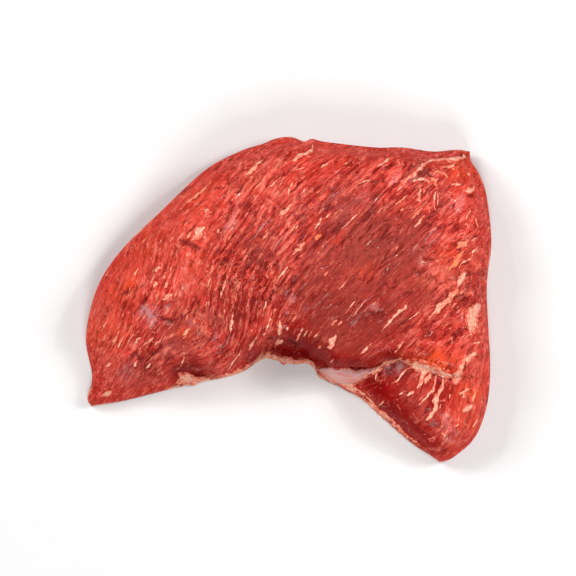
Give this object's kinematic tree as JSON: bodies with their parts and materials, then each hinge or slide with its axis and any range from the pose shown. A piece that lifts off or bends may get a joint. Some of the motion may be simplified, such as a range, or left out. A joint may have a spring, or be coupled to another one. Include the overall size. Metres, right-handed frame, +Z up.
{
  "type": "raw beef tri-tip",
  "caption": "Whole raw beef tri-tip roast: a trimmed, curved triangular muscle with a thin tail, a broad end and a lower flap, lying flat.",
  "frame": {"origin": "middle of the piece's box from above, on the flat base it rests on", "axes": "+X from the thin tail to the broad end, +Y to the long outer edge, +Z up"},
  "size_m": [0.2026, 0.1628, 0.0466],
  "materials": {
    "raw_beef": "moist raw red meat with cream marbling",
    "beef_fat": "soft cream to salmon fat, satin",
    "membrane": "thin pinkish grey membrane, wet"
  },
  "bodies": {
    "root": {"tri_tip": "raw_beef"}
  },
  "joints": []
}
